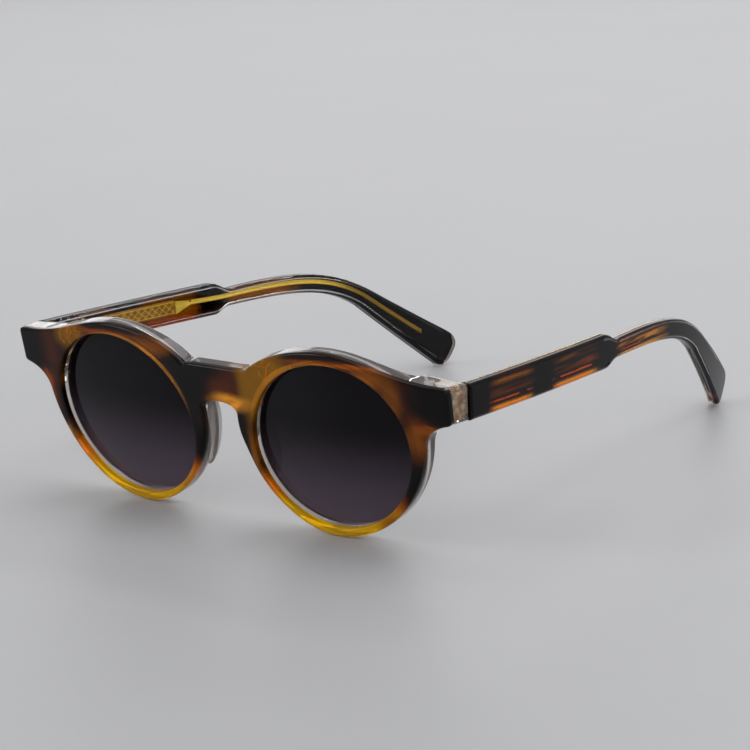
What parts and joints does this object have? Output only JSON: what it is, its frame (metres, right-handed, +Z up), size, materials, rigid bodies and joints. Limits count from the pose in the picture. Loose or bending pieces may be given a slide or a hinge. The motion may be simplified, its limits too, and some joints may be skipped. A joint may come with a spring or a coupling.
{
  "type": "round sunglasses",
  "caption": "Round sunglasses with a laminated tortoise and clear front, gradient tinted lenses and folding wire-core temples.",
  "frame": {"origin": "centre of the open glasses' bounding box, on the table that they rest on", "axes": "+Y from the front back to the temple tips, +X to the wearer's left, +Z up; stored open, resting on the rim bottoms and temple tips"},
  "size_m": [0.1448, 0.1575, 0.0491],
  "materials": {
    "tortoise_acetate": "polished tortoise pattern, dark at the corners and bridge, amber at the rims",
    "temple_tortoise": "polished dark tortoise with red-brown streaks",
    "clear_acetate": "polished, clear with a faint grey tint",
    "tinted_lens": "polished, dark grey-violet at the top to lighter at the bottom",
    "gold_metal": "satin gold-toned nickel silver"
  },
  "bodies": {
    "front": {"front_face_layer": "tortoise_acetate", "front_back_layer": "clear_acetate", "left_lens": "tinted_lens", "right_lens": "tinted_lens", "left_nose_pad": "clear_acetate", "right_nose_pad": "clear_acetate", "left_front_hinge_leaf": "gold_metal", "right_front_hinge_leaf": "gold_metal", "left_hinge_screw": "gold_metal", "right_hinge_screw": "gold_metal"},
    "left_temple": {"left_temple_hinge_leaf": "gold_metal", "left_temple_outer_layer": "temple_tortoise", "left_temple_inner_layer": "clear_acetate", "left_core_wire": "gold_metal"},
    "right_temple": {"right_temple_hinge_leaf": "gold_metal", "right_temple_outer_layer": "temple_tortoise", "right_temple_inner_layer": "clear_acetate", "right_core_wire": "gold_metal"}
  },
  "joints": [
    {"name": "left_temple_fold", "type": "hinge", "parent": "front", "child": "left_temple", "pos_m": [0.0664, -0.06458, 0.03815], "axis": [0, 0, 1], "range_deg": [0, 84]},
    {"name": "right_temple_fold", "type": "hinge", "parent": "front", "child": "right_temple", "pos_m": [-0.0664, -0.06458, 0.03815], "axis": [0, 0, -1], "range_deg": [0, 77]}
  ]
}
